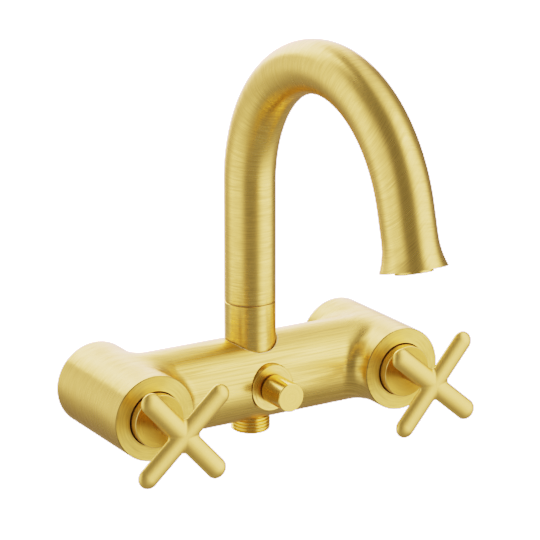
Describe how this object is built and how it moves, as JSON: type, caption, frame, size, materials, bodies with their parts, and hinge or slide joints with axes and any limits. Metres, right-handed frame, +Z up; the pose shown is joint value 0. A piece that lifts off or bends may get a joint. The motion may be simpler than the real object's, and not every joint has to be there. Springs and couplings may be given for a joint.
{
  "type": "bath mixer tap",
  "caption": "Wall bath mixer: H-shaped body, cross handles, swivel gooseneck spout with flared end, pull-out diverter and a threaded shower outlet below.",
  "frame": {"origin": "midway between the two inlets, on the plane of the union nuts' rear faces, which is the plane of the wall", "axes": "+Z up along the riser, -Y out of the wall towards the user, +X to the cold side, right as seen from the front"},
  "size_m": [0.2018, 0.2064, 0.2208],
  "materials": {
    "brushed_gold": "brushed gold coating over brass",
    "plain_brass": "bare machined brass",
    "steel": "stainless steel",
    "rubber": "black moulded rubber",
    "fibre": "flat sealing washer",
    "white_plastic": "moulded acetal",
    "ceramic": "lapped alumina"
  },
  "bodies": {
    "mixer": {"mixer_body": "brushed_gold", "hose_nipple": "brushed_gold", "spout_socket": "brushed_gold", "spout_screw": "steel", "spout_glide_ring": "white_plastic", "diverter_bonnet": "brushed_gold", "diverter_bonnet_o_ring": "rubber", "diverter_rod_o_rings": "rubber", "diverter_sleeve": "white_plastic", "diverter_spring": "steel", "hot_cartridge_housing": "plain_brass", "hot_cartridge_o_ring": "rubber", "hot_fixed_disc": "ceramic", "hot_cartridge_seal": "rubber", "hot_inlet_tail": "plain_brass", "hot_inlet_washer": "fibre", "cold_cartridge_housing": "plain_brass", "cold_cartridge_o_ring": "rubber", "cold_fixed_disc": "ceramic", "cold_cartridge_seal": "rubber", "cold_inlet_tail": "plain_brass", "cold_inlet_washer": "fibre"},
    "hot_handle": {"hot_spindle": "plain_brass", "hot_spindle_clip": "steel", "hot_turning_disc": "ceramic", "hot_handle_hub": "brushed_gold", "hot_hub_screw": "steel", "hot_handle_grub_screw": "steel", "hot_cross_handle": "brushed_gold"},
    "hot_union_nut": {"hot_inlet_nut": "brushed_gold"},
    "cold_handle": {"cold_spindle": "plain_brass", "cold_spindle_clip": "steel", "cold_turning_disc": "ceramic", "cold_handle_hub": "brushed_gold", "cold_hub_screw": "steel", "cold_handle_grub_screw": "steel", "cold_cross_handle": "brushed_gold"},
    "cold_union_nut": {"cold_inlet_nut": "brushed_gold"},
    "spout": {"spout_stem": "plain_brass", "spout_o_rings": "rubber", "spout_tube": "brushed_gold", "aerator_housing": "brushed_gold", "aerator_insert": "white_plastic", "aerator_washer": "fibre"},
    "diverter_button": {"diverter_rod": "steel", "diverter_valve_disc": "plain_brass", "diverter_valve_rubbers": "rubber", "diverter_valve_nut": "plain_brass", "diverter_knob": "brushed_gold"}
  },
  "joints": [
    {"name": "hot_handle_turn", "type": "hinge", "parent": "mixer", "child": "hot_handle", "pos_m": [-0.075, -0.041, 0], "axis": [0, -1, 0], "range_deg": [0, 90]},
    {"name": "hot_nut_spin", "type": "hinge", "parent": "mixer", "child": "hot_union_nut", "pos_m": [-0.075, -0.007, 0], "axis": [0, 1, 0], "continuous": true},
    {"name": "cold_handle_turn", "type": "hinge", "parent": "mixer", "child": "cold_handle", "pos_m": [0.075, -0.041, 0], "axis": [0, -1, 0], "range_deg": [-90, 0]},
    {"name": "cold_nut_spin", "type": "hinge", "parent": "mixer", "child": "cold_union_nut", "pos_m": [0.075, -0.007, 0], "axis": [0, 1, 0], "continuous": true},
    {"name": "spout_swivel", "type": "hinge", "parent": "mixer", "child": "spout", "pos_m": [0, -0.041, 0.0426], "axis": [0, 0, 1], "range_deg": [-90, 90]},
    {"name": "diverter_pull", "type": "slide", "parent": "mixer", "child": "diverter_button", "axis": [0, -1, 0], "range_m": [0, 0.008], "stiffness_N_per_m": 400, "springref_m": -0.004, "deforming": ["diverter_spring"]}
  ]
}
